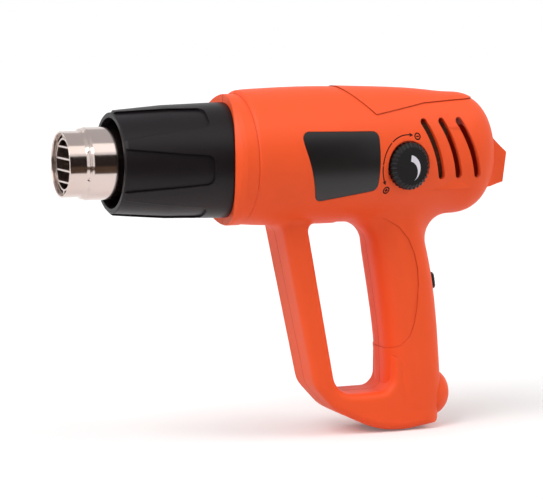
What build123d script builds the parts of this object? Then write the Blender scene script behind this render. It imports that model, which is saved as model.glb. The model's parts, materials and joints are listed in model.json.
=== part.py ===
from build123d import *
import os
from math import atan2, cos, degrees, hypot, pi, radians, sin, sqrt

# Pistol-shaped heat tool with a closed hand loop.
# The X axis is the barrel axis: the nozzle mouth is at zero and X grows to the rear.
# Minus Y is the left side with the dial and the badge, and Z points up. Lengths are millimetres.

os.makedirs("parts", exist_ok=True)

# Fits and general sizes
wall = 2.4
seam_gap = 0.2
running = 0.05
snug = 0.1
easy = 0.3
overrun = 1.0

# Nozzle tube and its grille
nozzle_radius = 17.0
nozzle_wall = 0.8
rim_wall = 1.1
rim_length = 1.6
nose_length = 9.0
step_length = 3.6
bead_length = 1.4
bead_rise = 1.2
bead_dip = 0.3
tube_radius = 18.8
tube_length = 96.0
flange_station = 87.7
flange_radius = 23.0
flange_thickness = 1.0
web_rear = 92.5
collar_bore = 32.0
dimple_radius = 1.3
dimple_depth = 0.3
dimple_count = 8
grille_ring_radius = 13.6
grille_strip = 1.0
grille_depth = 4.0
slat_pitch = 6.0
slat_count = 4
grille_tab_count = 8

# Heater inside the tube
liner_front = 14.0
liner_wall = 0.5
heater_front = 16.0
mica_thickness = 0.8
spider_length = 5.0
fin_half_width = 11.3
coil_radius = 11.8
coil_wire_radius = 0.4
coil_pitch = 4.4
coil_turns = 15
coil_start = 22.0
base_plate_thickness = 2.0
base_hole_radius = 5.0
base_hole_circle = 10.5
base_hole_count = 4
fuse_radius = 1.8
fuse_length = 9.0

# Front sleeve
sleeve_front = 26.5
sleeve_rear = 83.9
sleeve_bore = 23.5
sleeve_lip_radius = 27.2
sleeve_middle_radius = 29.4
sleeve_rear_radius = 30.3
sleeve_lip = 1.6
sleeve_wall = 2.2
sleeve_socket_wall = 2.7
sleeve_bow = 4.8
sleeve_lip_depth = 4.0
rib_count = 6
rib_first_angle = 24.0
panel_depth = 1.1
panel_rear = 73.5
panel_front_angle = 25.0
panel_rear_angle = 14.5
panel_corner = 4.0
spigot_length = 12.0
spigot_wall = 2.6

# Housing collar and body
collar_front = 84.0
collar_front_radius = 31.4
collar_flare_length = 3.0
collar_flare_radius = 33.6
collar_band_start = 5.5
collar_band_radius = 34.6
collar_rear = 97.5
collar_rear_radius = 33.5
body_front = 95.5
body_rear = 245.5
body_top = 38.0
body_bottom = 35.5
body_half = 35.8
body_edge = 2.2
cap_fullness = 2.6

# Body sections as shares of the body's length, top, bottom and half-width
station_shares = (
    (0.000, 0.955, 0.960, 0.975),
    (0.077, 0.979, 0.986, 0.992),
    (0.197, 0.996, 1.000, 1.000),
    (0.330, 1.000, 1.000, 0.985),
    (0.463, 0.985, 1.000, 0.930),
    (0.597, 0.965, 0.990, 0.845),
    (0.730, 0.925, 0.960, 0.740),
    (0.823, 0.888, 0.925, 0.655),
)
cap_shares = (0.30, 0.50, 0.66, 0.79, 0.88, 0.945, 0.98, 0.995)

# Tail block that the tool can stand on, with its side view and plan as points from the body's rear
tail_reach = 6.8
tail_top = 0.8
tail_foot = 15.5
tail_undercut = 2.2
tail_shelf = 17.8
tail_shelf_back = 11.3
tail_slope_rise = 15.0
tail_slope_run = 17.5
tail_root = 48.0
tail_face_half = 10.3
tail_edge = 1.2
tail_blend = 1.0
tail_plan_shares = ((0.000, 0.670), (0.290, 0.620), (0.470, 0.566), (0.640, 0.470), (0.790, 0.352), (0.890, 0.305))

# Handle sections as shares of its drop, depth and half-width
handle_axis = 192.0
handle_drop = 150.0
handle_depth = 33.0
handle_half = 17.8
handle_corner = 13.0
handle_shares = (
    (0.060, -0.66, 0.30, 0.97),
    (0.200, -0.64, 0.335, 0.985),
    (0.333, -0.612, 0.382, 0.995),
    (0.413, -0.552, 0.461, 1.000),
    (0.520, -0.470, 0.539, 1.000),
    (0.627, -0.400, 0.594, 0.995),
    (0.733, -0.352, 0.636, 0.980),
    (0.813, -0.339, 0.667, 0.950),
    (0.893, -0.364, 0.673, 0.900),
    (0.950, -0.400, 0.652, 0.840),
)
handle_blend = 15.5

# Guard loop, made of the front strut and the base, in side view at the parting plane
loop_half = 15.5
loop_edge = 4.2
strut_x = 109.9
strut_lean = 0.215
strut_root_depth = 14.9
strut_foot_depth = 11.9
strut_blend = 5.5
loop_root = 20.0
loop_knee = 122.5
loop_knee_round = 15.0
loop_shin_x = 149.0
loop_shin = 136.5
loop_shin_round = 24.0
loop_chin_x = 174.0
loop_chin = 148.6
loop_chin_round = 48.0
loop_base_x = 191.0
loop_bottom = 149.4
loop_base_round = 50.0
loop_rear = 213.6
loop_rear_drop = 146.1
loop_rear_round = 6.5
loop_shoulder = 108.0
loop_shoulder_rear = 208.5
loop_floor = 127.6
loop_inner_round = 12.0
window_rear = 182.4
window_round = 8.0

# Heel boss with the cord inlet
heel_z = -131.6
heel_root = 200.0
heel_shoulder = 211.6
heel_face = 219.2
heel_root_radius = 13.4
heel_face_radius = 8.0
heel_bulge_share = 0.3
heel_seat = 4.4
inlet_bore = 3.8
inlet_wall = 1.4
inlet_flange = 1.6
inlet_flange_thickness = 2.0
inlet_lip = 0.8

# Badge plate, with its edges as shares of its length and height from the upper front corner
badge_front = 119.9
badge_top = 15.7
badge_length = 45.0
badge_height = 37.5
badge_corner = 3.6
badge_bend = 20.0
badge_recess = 0.9
badge_lift = 0.1
badge_front_shares = ((0.0, 0.0), (0.016, 0.165), (0.100, 0.48), (0.150, 0.693), (0.214, 0.985))
badge_rear_shares = ((0.995, 0.845), (0.996, 0.42), (0.992, 0.02))

# Dial and its electrics, along the dial's own axis
dial_x = 183.0
dial_y = 30.6
dial_z = -3.8
dial_yaw = 10.0
dial_radius = 12.6
dial_face_radius = 10.5
dial_height = 2.9
dial_seat = 2.2
dial_flutes = 30
dial_flute_radius = 1.0
dial_groove_depth = 0.45
dial_groove_length = 7.0
dial_recess_gap = 0.7
dial_pocket_radius = 6.8
dial_pocket_depth = 2.4
dial_edge = 0.4
dial_slope = 1.9
mark_depth = 0.5
mark_lift = 0.05
mark_outer_shares = ((-0.063, 0.566), (0.478, 0.0), (0.101, -0.730))
mark_inner_shares = ((0.101, -0.730), (0.322, -0.254), (-0.102, 0.245))
dial_pad_radius = 16.0
dial_pad_depth = 5.0
spindle_radius = 3.0
spindle_reach = 1.6
pot_radius = 8.2
pot_depth = 7.0
pot_neck_radius = 3.6
pot_neck_wall = 0.55
pot_floor = 0.8
nut_width = 10.0
nut_thickness = 1.6
board_length = 52.0
board_height = 38.0
board_thickness = 1.6
board_shift = 8.0
board_rise = 3.0
sink_width = 14.0
sink_height = 20.0
sink_base = 1.5
sink_fin = 1.2
sink_fins = 4
sink_depth = 6.0

# Body vents, which are bowed slots in each side
vent_width = 4.2
vent_first = 194.3
vent_pitch = 11.8
vent_top = 18.8
vent_bottom = -9.8
vent_lean = 10.6
vent_bow = 1.1
vent_count = 3
vent_reach = 15.0

# Raised top panel and sunk grip panel, in side view
panel_lift = 0.45
chevron_shares = (
    (0.3313, 1.1842),
    (0.4680, 0.6211),
    (0.6833, 0.7632),
    (0.8700, 0.8000),
    (0.9633, 0.8289),
    (0.9633, 1.1842),
)
grip_depth = 0.5
grip_shares = (
    (-1.273, 0.1933),
    (-0.776, 0.2093),
    (-0.500, 0.2173),
    (-0.252, 0.2493),
    (-0.082, 0.2927),
    (0.030, 0.3487),
    (0.091, 0.4053),
    (0.106, 0.4660),
    (0.082, 0.5433),
    (0.039, 0.5993),
    (-0.039, 0.6480),
    (-0.179, 0.6833),
    (-0.348, 0.6973),
    (-0.606, 0.6973),
    (-1.273, 0.4000),
)

# Fan, its shroud and the motor, along the barrel axis
shroud_mouth = 97.0
shroud_mouth_radius = 21.5
shroud_cone_end = 112.0
shroud_radius = 31.0
shroud_wall = 1.4
shroud_rear = 134.0
shroud_plate = 2.0
shroud_port_radius = 6.0
shroud_port_circle = 21.0
shroud_port_count = 6
fan_front = 116.0
fan_length = 13.0
fan_hub_radius = 7.0
fan_radius = 28.6
fan_blade = 1.2
fan_blades = 9
fan_root_pitch = 48.0
fan_tip_pitch = 30.0
fan_root_chord = 11.0
fan_tip_chord = 17.0
motor_radius = 13.8
motor_wall = 1.0
motor_length = 32.0
motor_nose_radius = 5.0
shaft_radius = 1.5
shaft_front = 117.0
shaft_rear = 172.6
bush_radius = 3.0
bush_length = 3.0
endcap_thickness = 4.0
endcap_spigot = 1.6
terminal_circle = 9.5
terminal_width = 4.0
terminal_thickness = 0.8
terminal_length = 4.5
magnet_gap = 0.8
magnet_length = 22.0
magnet_angle = 62.0
armature_radius = 8.2
armature_length = 16.0
armature_gap = 6.0
armature_slots = 3
armature_slot_width = 2.2
commutator_radius = 3.2
commutator_length = 4.0
winding_overhang = 2.0
winding_radius = 6.8
rectifier_radius = 12.0
rectifier_thickness = 1.4
rectifier_stand = 1.2
diode_size = 3.0
diode_circle = 8.0
diode_count = 4

# Thumb switch, in the plane of the handle's back
switch_z = -69.8
switch_x = 208.6
switch_tilt = 9.2
slider_width = 8.6
slider_length = 9.6
slider_height = 4.0
slider_travel = 6.0
slider_round = 2.6
slider_edge = 1.6
slider_groove = 0.6
slider_groove_pitch = 2.0
slider_grooves = 3
slider_lap = 1.0
slider_plate = 1.2
slider_plate_width = 13.0
slider_stem = 3.0
slider_stem_length = 4.0
slider_stem_depth = 3.4
switch_width = 14.0
switch_length = 30.0
switch_depth = 13.0
switch_slot_depth = 4.0

# Ribs across the handle, and what they carry
rib_thickness = 1.8
tray_hole_share = 0.7
ring_front = 114.0
ring_rear = 130.0
block_width = 18.0
block_depth = 14.0
block_height = 10.0
block_well = 2.0
block_z = -108.0
block_x = 200.0
capacitor_width = 18.0
capacitor_depth = 8.0
capacitor_height = 12.0
capacitor_x = 202.0
block_rib_front = 189.0

# Housing screws, put in from the right side, with their places in side view
screw_radius = 1.45
screw_head_radius = 3.0
screw_head = 2.0
screw_length = 15.0
screw_slot = 0.8
screw_slot_depth = 1.0
screw_seat = 6.0
boss_radius = 4.6
pilot_depth = 11.0
screw_body_shares = (
    (-0.0100, 0.763),
    (-0.0100, -0.763),
    (0.6633, 0.737),
    (0.8900, 0.526),
    (0.8767, -0.526),
)
screw_handle_shares = (
    (-1.858, 0.4233),
    (-0.970, 0.8933),
    (-0.379, 0.3333),
    (-0.106, 0.8200),
)


def body_sections():
    """Return the body's sections, with a rounded cap at the tail."""
    rows = list(station_shares)
    start, top, bottom, half = station_shares[-1]
    for share in cap_shares:
        shrink = (1 - share**cap_fullness) ** (1 / cap_fullness)
        rows.append((start + (1 - start) * share, top * shrink, bottom * shrink, half * shrink))
    return rows


def body_form(inset):
    """Return the oval body, drawn in by the inset."""
    span = body_rear - body_front - inset
    with BuildPart() as form:
        for along, top_share, bottom_share, half_share in body_sections():
            top = body_top * top_share - inset
            bottom = inset - body_bottom * bottom_share
            with BuildSketch(Plane.YZ.offset(body_front + span * along)):
                with Locations((0, (top + bottom) / 2)):
                    Ellipse(body_half * half_share - inset, (top - bottom) / 2)
        loft()
    return form.part


def turned(points, height=0):
    """Return the solid of axial and radial points turned about a line along X at a height."""
    with BuildPart() as form:
        with BuildSketch(Plane.XZ):
            with BuildLine():
                Polyline(*[(along, height + radius) for along, radius in points], close=True)
            make_face()
        revolve(axis=Axis((0, 0, height), (1, 0, 0)))
    return form.part


def disc(start, length, radius):
    """Return a cylinder on the barrel axis."""
    return turned(((start, 0), (start, radius), (start + length, radius), (start + length, 0)))


def side_prism(points, near, far):
    """Return a prism of a side-view outline between two distances from the parting plane."""
    with BuildPart() as form:
        with BuildSketch(Plane.XZ.offset(-far)):
            with BuildLine():
                Polyline(*points, close=True)
            make_face()
        extrude(amount=far - near)
    return form.part


def handle_form(inset):
    """Return the handle from inside the body down to the base, drawn in by the inset."""
    with BuildPart() as form:
        for drop, front, rear, half in handle_shares:
            low = handle_axis + handle_depth * front + inset
            high = handle_axis + handle_depth * rear - inset
            width = 2 * (handle_half * half - inset)
            with BuildSketch(Plane.XY.offset(-handle_drop * drop)):
                with Locations(((low + high) / 2, 0)):
                    RectangleRounded(high - low, width, handle_corner - inset)
        loft()
    return form.part


def skin_form(inset, edge=0):
    """Return the body and handle with the blend between them, drawn in by the inset."""
    with BuildPart() as form:
        add(body_form(inset))
        if edge > 0:
            fillet(form.edges().group_by(Axis.X)[0], edge)
        add(handle_form(inset))
        fillet(form.edges(Select.NEW), handle_blend)
    return form.part


def strut_front(drop):
    """Return the X of the strut's front line at a depth below the barrel axis."""
    return strut_x + strut_lean * drop


def drawn_in(corners, inset):
    """Return the corners and radii of a counter-clockwise outline, drawn in by the inset."""
    points = []
    radii = []
    for index, (x, y, radius) in enumerate(corners):
        before = corners[index - 1]
        after = corners[(index + 1) % len(corners)]
        first = Vector(x - before[0], y - before[1]).normalized()
        second = Vector(after[0] - x, after[1] - y).normalized()
        share = inset / (1 + first.dot(second))
        points.append((x - share * (first.Y + second.Y), y + share * (first.X + second.X)))
        convex = first.X * second.Y - first.Y * second.X > 0
        radii.append(0 if radius == 0 else radius - inset if convex else radius + inset)
    return points, radii


def loop_form(inset, edge=0):
    """Return the strut and base, with rims rounded by the edge and the rear rounded like the handle."""
    corners = (
        (strut_front(loop_root), -loop_root, 0),
        (strut_front(loop_knee), -loop_knee, loop_knee_round),
        (loop_shin_x, -loop_shin, loop_shin_round),
        (loop_chin_x, -loop_chin, loop_chin_round),
        (loop_base_x, -loop_bottom, loop_base_round),
        (loop_rear, -loop_rear_drop, loop_rear_round),
        (loop_shoulder_rear, -loop_shoulder, 0),
        (window_rear, -loop_shoulder, 0),
        (window_rear, -loop_floor, window_round),
        (strut_front(loop_floor) + strut_foot_depth, -loop_floor, loop_inner_round),
        (strut_front(loop_root) + strut_root_depth, -loop_root, 0),
    )
    points, radii = drawn_in(corners, inset)
    with BuildPart() as form:
        with BuildSketch(Plane.XZ.offset(inset - loop_half)):
            with BuildLine():
                FilletPolyline(*points, radius=radii, close=True)
            make_face()
        extrude(amount=2 * (loop_half - inset))
        if edge > 0:
            rims = form.faces().filter_by(Axis.Y).edges()
            fillet(rims.filter_by_position(Axis.Z, -loop_bottom - overrun, -loop_root - overrun), edge)
        with BuildSketch(Plane.XY.offset(-loop_bottom - overrun)):
            with Locations((loop_rear - inset, 0)):
                RectangleRounded(
                    2 * (loop_rear - strut_x),
                    2 * (loop_half - inset),
                    handle_corner - inset,
                    align=(Align.MAX, Align.CENTER),
                )
        extrude(amount=loop_bottom, mode=Mode.INTERSECT)
    return form.part


def tail_form(inset):
    """Return the tail block: its side view crossed with its plan."""
    tip = body_rear + tail_reach
    root = body_rear - tail_root
    slope = tail_slope_rise + tail_slope_rise * inset / tail_slope_run
    side = (
        (root, -tail_shelf, 0),
        (tip - tail_shelf_back, -tail_shelf, 0),
        (tip - tail_undercut, -tail_foot, 0),
        (tip, tail_top, 0),
        (tip - tail_slope_run, tail_top + tail_slope_rise, 0),
        (root, tail_top + slope, 0),
    )
    points, _ = drawn_in(side, inset)
    length = tip - root
    edge = [(root + along * length, body_half * half - inset) for along, half in tail_plan_shares]
    edge.append((tip - inset, tail_face_half - inset))
    with BuildPart() as form:
        with BuildSketch(Plane.XZ.offset(-body_half)):
            with BuildLine():
                Polyline(*points, close=True)
            make_face()
        extrude(amount=2 * body_half)
        with BuildSketch(Plane.XY.offset(-body_half)):
            with BuildLine():
                Spline(*edge)
                Polyline(edge[-1], (edge[-1][0], -edge[-1][1]))
                Spline(*[(x, -half) for x, half in reversed(edge)])
                Polyline((edge[0][0], -edge[0][1]), edge[0])
            make_face()
        extrude(amount=2 * body_half, mode=Mode.INTERSECT)
    return form.part


def heel_form(inset):
    """Return the domed boss at the heel, drawn in by the inset."""
    with BuildPart() as form:
        with BuildSketch(Plane.XZ):
            with BuildLine():
                Polyline(
                    (heel_face - inset, heel_z),
                    (heel_root, heel_z),
                    (heel_root, heel_z + heel_root_radius - inset),
                    (heel_shoulder, heel_z + heel_root_radius - inset),
                )
                ThreePointArc(
                    (heel_shoulder, heel_z + heel_root_radius - inset),
                    (
                        heel_face - inset - heel_bulge_share * (heel_face - heel_shoulder),
                        heel_z + (heel_root_radius + heel_face_radius) / 2 - inset,
                    ),
                    (heel_face - inset, heel_z + heel_face_radius - inset),
                )
                Line((heel_face - inset, heel_z + heel_face_radius - inset), (heel_face - inset, heel_z))
            make_face()
        revolve(axis=Axis((0, 0, heel_z), (1, 0, 0)))
    return form.part


def tilted(x, y, z, yaw, pitch):
    """Return a plane at a point whose normal turns from +X by the yaw, then lifts by the pitch."""
    flat = cos(radians(pitch))
    normal = (flat * cos(radians(yaw)), flat * sin(radians(yaw)), sin(radians(pitch)))
    across = (-sin(radians(yaw)), cos(radians(yaw)), 0)
    return Plane(origin=(x, y, z), x_dir=across, z_dir=normal)


def vent_bow_line(index):
    """Return the bowed centre line of one vent in side view."""
    top = Vector(vent_first + index * vent_pitch, vent_top)
    bottom = top + Vector(vent_lean, vent_bottom - vent_top)
    slope = (bottom - top).normalized()
    middle = (top + bottom) / 2 + Vector(-slope.Y, slope.X) * vent_bow
    return Edge.make_three_point_arc(top, middle, bottom)


def sleeve_side(rear):
    """Return a prism in plan of all that lies in front of the sleeve's bowed rear edge."""
    with BuildPart() as form:
        with BuildSketch(Plane.XY.offset(-clear_side)):
            with BuildLine():
                bow = ThreePointArc((rear, sleeve_rear_radius), (rear + sleeve_bow, 0), (rear, -sleeve_rear_radius))
                Polyline(
                    bow @ 1,
                    (rear, -clear_side),
                    (sleeve_front - overrun, -clear_side),
                    (sleeve_front - overrun, clear_side),
                    (rear, clear_side),
                    bow @ 0,
                )
            make_face()
        extrude(amount=2 * clear_side)
    return form.part


def sleeve_panel(angle, floor):
    """Return the cutter of one recessed panel, down to the floor, at an angle above the left side."""
    outward = (0, -cos(radians(angle)), sin(radians(angle)))
    half_front = sleeve_lip_radius * sin(radians(panel_front_angle))
    half_rear = sleeve_rear_radius * sin(radians(panel_rear_angle))
    with BuildPart() as form:
        with BuildSketch(Plane(origin=(0, 0, 0), x_dir=(1, 0, 0), z_dir=outward)):
            with BuildLine():
                FilletPolyline(
                    (sleeve_front - overrun, -half_front),
                    (panel_rear, -half_rear),
                    (panel_rear, half_rear),
                    (sleeve_front - overrun, half_front),
                    radius=[0, panel_corner, panel_corner, 0],
                    close=True,
                )
            make_face()
        extrude(amount=sleeve_rear_radius + overrun)
        add(floor, mode=Mode.SUBTRACT)
    return form.part


def fan_plane(angle, radius, pitch):
    """Return the plane of a blade section, facing outwards, at a radius and a pitch."""
    outward = Vector(0, cos(radians(angle)), sin(radians(angle)))
    around = Vector(0, -sin(radians(angle)), cos(radians(angle)))
    chord = Vector(1, 0, 0) * sin(radians(pitch)) + around * cos(radians(pitch))
    return Plane(origin=Vector(fan_front + fan_length / 2, 0, 0) + outward * radius, x_dir=chord, z_dir=outward)


def badge_prism(gap):
    """Return a prism of the badge's outline through the left side, grown by the gap."""
    front = [(badge_front + x * badge_length, badge_top - z * badge_height) for x, z in badge_front_shares]
    rear = [(badge_front + x * badge_length, badge_top - z * badge_height) for x, z in badge_rear_shares]
    bends = [badge_corner] + [badge_bend] * (len(front) - 2) + [badge_corner]
    bends = bends + [badge_corner] + [badge_bend] * (len(rear) - 2) + [badge_corner]
    with BuildPart() as form:
        with BuildSketch(Plane.XZ):
            with BuildLine():
                FilletPolyline(*front, *rear, radius=bends, close=True)
            make_face()
            if gap > 0:
                offset(amount=gap)
        extrude(amount=clear_side)
    return form.part


def mark_outline():
    """Return the face of the crescent in the dial's plane."""
    with BuildSketch() as face:
        with BuildLine():
            outer = [(x * dial_face_radius, y * dial_face_radius) for x, y in mark_outer_shares]
            inner = [(x * dial_face_radius, y * dial_face_radius) for x, y in mark_inner_shares]
            ThreePointArc(*outer)
            ThreePointArc(*inner)
            Line(inner[-1], outer[0])
        make_face()
    return face.sketch


# Planes of the dial and of the thumb switch, with X across, Y up and Z out of the housing
dial_plane = tilted(dial_x, -dial_y, dial_z, dial_yaw - 90, 0)
switch_plane = tilted(switch_x, 0, switch_z, 0, switch_tilt)

# Side-view places of the panels' corners and of the screws
body_span = body_rear - body_front
chevron_points = [(body_front + along * body_span, up * body_top) for along, up in chevron_shares]
grip_points = [(handle_axis + along * handle_depth, -down * handle_drop) for along, down in grip_shares]
screw_places = [(body_front + along * body_span, up * body_top) for along, up in screw_body_shares]
screw_places += [(handle_axis + along * handle_depth, -down * handle_drop) for along, down in screw_handle_shares]

# Radii and stations that follow from the sizes above
tube_bore = tube_radius - nozzle_wall
nose_bore = nozzle_radius - nozzle_wall
liner_radius = tube_bore - snug
liner_bore = liner_radius - liner_wall
liner_rear = tube_length - base_plate_thickness
spigot_front = collar_front - spigot_length
spigot_radius = sleeve_rear_radius - sleeve_socket_wall - snug
flange_rear = flange_station + flange_thickness + snug
shroud_bore = shroud_radius - shroud_wall
motor_front = shroud_rear + shroud_plate
motor_rear = motor_front + motor_length
can_bore = motor_radius - motor_wall
endcap_rear = motor_rear + endcap_thickness
armature_front = motor_front + motor_wall + armature_gap
commutator_front = armature_front + armature_length + winding_overhang
dial_under = easy - dial_seat
inlet_radius = inlet_bore + inlet_wall
inlet_seat = heel_face - heel_seat
pocket_roof = dial_under + dial_pocket_depth
board_top = -dial_pad_depth - pot_depth
slider_under = -wall - easy
switch_top = slider_under - slider_plate - easy
slider_slot = slider_length + slider_travel + 2 * easy
slider_cover = slider_slot + slider_travel + 2 * slider_lap
clear_side = body_half + overrun

# Outside of the housing: body, handle, guard loop, tail block, heel boss and front collar
with BuildPart() as tail_outside:
    add(tail_form(0))
    fillet(tail_outside.edges().group_by(Axis.X)[-1], tail_edge)

with BuildPart() as collar_cut:
    with BuildSketch(Plane.YZ.offset(collar_front - overrun)):
        Circle(clear_side)
        Circle(spigot_radius, mode=Mode.SUBTRACT)
    extrude(amount=sleeve_bow + 2 * overrun)
    add(sleeve_side(collar_front), mode=Mode.INTERSECT)

with BuildPart() as outside:
    add(skin_form(0, body_edge))
    add(loop_form(0, loop_edge))
    joint = outside.edges(Select.NEW).filter_by_position(Axis.Z, -body_bottom - handle_blend, -loop_root)
    fillet(joint, strut_blend)
    add(tail_outside.part)
    fillet(outside.edges(Select.NEW).filter_by_position(Axis.X, body_rear - handle_blend, body_rear), tail_blend)
    add(heel_form(0))
    add(
        turned(
            (
                (spigot_front, 0),
                (spigot_front, spigot_radius),
                (collar_front, spigot_radius),
                (collar_front, collar_front_radius),
                (collar_front + collar_flare_length, collar_flare_radius),
                (collar_front + collar_band_start, collar_band_radius),
                (body_front, collar_band_radius),
                (collar_rear, collar_rear_radius),
                (collar_rear, 0),
            )
        )
    )
    add(collar_cut.part, mode=Mode.SUBTRACT)

# Sunk grip panel and raised top panel
with BuildPart() as grip_cut:
    add(side_prism(grip_points, -clear_side, clear_side))
    add(skin_form(grip_depth), mode=Mode.SUBTRACT)

with BuildPart() as chevron:
    add(side_prism(chevron_points, -clear_side, clear_side))
    add(body_form(-panel_lift), mode=Mode.INTERSECT)

# What stands in the space inside: shroud rings, dial pad, screw bosses, heel seat, switch tray and block rib
tray_length = switch_length + 2 * (snug + rib_thickness)
tray_width = switch_width + 2 * (snug + rib_thickness)
with BuildPart() as fittings:
    for station in (ring_front, ring_rear):
        with BuildSketch(Plane.YZ.offset(station)):
            Circle(body_top)
            Circle(shroud_radius + snug, mode=Mode.SUBTRACT)
        extrude(amount=rib_thickness)
    with BuildSketch(dial_plane.offset(-dial_pad_depth)):
        Circle(dial_pad_radius)
    extrude(amount=dial_pad_depth + overrun)
    with BuildSketch(Plane.XZ.offset(-clear_side)):
        with Locations(*screw_places):
            Circle(boss_radius)
    extrude(amount=2 * clear_side)
    with BuildSketch(Plane.YZ.offset(inlet_seat)):
        with Locations((0, heel_z)):
            Circle(heel_root_radius)
    extrude(amount=heel_seat)
    with BuildSketch(switch_plane.offset(switch_top)):
        Rectangle(2 * handle_half, tray_length)
        Rectangle(2 * handle_half, switch_length + 2 * snug, mode=Mode.SUBTRACT)
    with BuildSketch(switch_plane.offset(switch_top)):
        Rectangle(tray_width, tray_length)
        Rectangle(switch_width + 2 * snug, switch_length + 2 * snug, mode=Mode.SUBTRACT)
    extrude(amount=-switch_depth - snug)
    with BuildSketch(switch_plane.offset(switch_top - switch_depth - snug)):
        Rectangle(2 * handle_half, tray_length)
        Rectangle(switch_width * tray_hole_share, switch_length * tray_hole_share, mode=Mode.SUBTRACT)
    extrude(amount=-rib_thickness)
    with BuildSketch(Plane.XY.offset(block_z - block_height / 2 - snug)):
        with Locations((block_rib_front, 0)):
            Rectangle(handle_depth, 2 * handle_half, align=(Align.MIN, Align.CENTER))
    extrude(amount=-rib_thickness)

# Space inside the housing
with BuildPart() as hollow:
    add(skin_form(wall))
    add([loop_form(wall), tail_form(wall), heel_form(wall), disc(web_rear, body_front + overrun - web_rear, collar_bore)])
    add(fittings.part, mode=Mode.SUBTRACT)

# What is cut through both halves: front bore, flange groove, heel hole, vents and switch slot
with BuildPart() as through_cuts:
    add(disc(spigot_front - overrun, spigot_length + overrun, spigot_radius - spigot_wall))
    add(disc(collar_front - overrun, tube_length - collar_front, tube_radius + snug))
    add(disc(flange_station - snug, flange_thickness + 2 * snug, flange_radius + snug))
    with BuildSketch(Plane.YZ.offset(inlet_seat - overrun)):
        with Locations((0, heel_z)):
            Circle(inlet_radius + snug)
    extrude(amount=heel_seat + 2 * overrun)
    for side in (-clear_side, vent_reach):
        with BuildSketch(Plane.XZ.offset(-side)):
            for index in range(vent_count):
                SlotArc(vent_bow_line(index), vent_width)
        extrude(amount=vent_reach - clear_side)
    with BuildSketch(switch_plane.offset(overrun)):
        with Locations((0, slider_travel / 2)):
            RectangleRounded(slider_width + 2 * easy, slider_slot, slider_round + easy)
    extrude(amount=-wall - 2 * overrun)
    with BuildSketch(switch_plane.offset(-wall)):
        with Locations((0, slider_travel / 2)):
            Rectangle(slider_plate_width + 2 * easy, slider_cover + slider_travel + 2 * easy)
    extrude(amount=switch_top + wall)

# Both halves of the housing in one
with BuildPart() as housing:
    add(outside.part)
    add(grip_cut.part, mode=Mode.SUBTRACT)
    add(chevron.part)
    add([hollow.part, through_cuts.part], mode=Mode.SUBTRACT)

# Left half, with the badge's recess, the dial's seat and the screws' pilot holes
with BuildPart() as badge_cut:
    add(badge_prism(snug))
    add(body_form(badge_recess), mode=Mode.SUBTRACT)

with BuildPart() as housing_left:
    add(housing.part)
    split(bisect_by=Plane.XZ.offset(seam_gap / 2), keep=Keep.TOP)
    add(badge_cut.part, mode=Mode.SUBTRACT)
    with BuildSketch(dial_plane.offset(-dial_seat)):
        Circle(dial_radius + dial_recess_gap)
    extrude(amount=dial_pad_radius, mode=Mode.SUBTRACT)
    with BuildSketch(dial_plane.offset(-dial_pad_depth - overrun)):
        Circle(pot_neck_radius + snug)
    extrude(amount=dial_pad_depth, mode=Mode.SUBTRACT)
    with BuildSketch(Plane.XZ):
        with Locations(*screw_places):
            Circle(screw_radius + running)
    extrude(amount=pilot_depth, mode=Mode.SUBTRACT)
housing_left.part.label = "housing_left"
export_step(housing_left.part, "parts/housing_left.step")

# Right half, with the screws' holes and head wells
with BuildPart() as housing_right:
    add(housing.part)
    split(bisect_by=Plane.XZ.offset(-seam_gap / 2), keep=Keep.BOTTOM)
    with BuildSketch(Plane.XZ):
        with Locations(*screw_places):
            Circle(screw_radius + easy)
    extrude(amount=-screw_seat, mode=Mode.SUBTRACT)
    with BuildSketch(Plane.XZ.offset(-screw_seat)):
        with Locations(*screw_places):
            Circle(screw_head_radius + easy)
    extrude(amount=-clear_side, mode=Mode.SUBTRACT)
housing_right.part.label = "housing_right"
export_step(housing_right.part, "parts/housing_right.step")

# Front sleeve: a turned shell with six recessed panels between ribs
sleeve_middle = (sleeve_front + sleeve_rear) / 2
sleeve_floor = turned(
    (
        (sleeve_front - overrun, 0),
        (sleeve_front - overrun, sleeve_lip_radius - panel_depth),
        (sleeve_front + sleeve_lip, sleeve_lip_radius - panel_depth),
        (sleeve_middle, sleeve_middle_radius - panel_depth),
        (sleeve_rear, sleeve_rear_radius - panel_depth),
        (sleeve_rear, 0),
    )
)
with BuildPart() as front_sleeve:
    add(
        turned(
            (
                (sleeve_front, sleeve_bore),
                (sleeve_front, sleeve_lip_radius - sleeve_lip),
                (sleeve_front + sleeve_lip, sleeve_lip_radius),
                (sleeve_middle, sleeve_middle_radius),
                (sleeve_rear, sleeve_rear_radius),
                (sleeve_rear + sleeve_bow, sleeve_rear_radius),
                (sleeve_rear + sleeve_bow, spigot_radius + snug),
                (spigot_front - snug, spigot_radius + snug),
                (sleeve_middle, sleeve_middle_radius - sleeve_wall),
                (sleeve_front + sleeve_lip_depth, sleeve_lip_radius - sleeve_wall),
                (sleeve_front + sleeve_lip_depth, sleeve_bore),
            )
        )
    )
    add(sleeve_side(sleeve_rear), mode=Mode.INTERSECT)
    for index in range(rib_count):
        middle_angle = rib_first_angle + 360 / rib_count * (index + 1 / 2)
        add(sleeve_panel(middle_angle, sleeve_floor), mode=Mode.SUBTRACT)
front_sleeve.part.label = "front_sleeve"
export_step(front_sleeve.part, "parts/front_sleeve.step")

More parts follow.
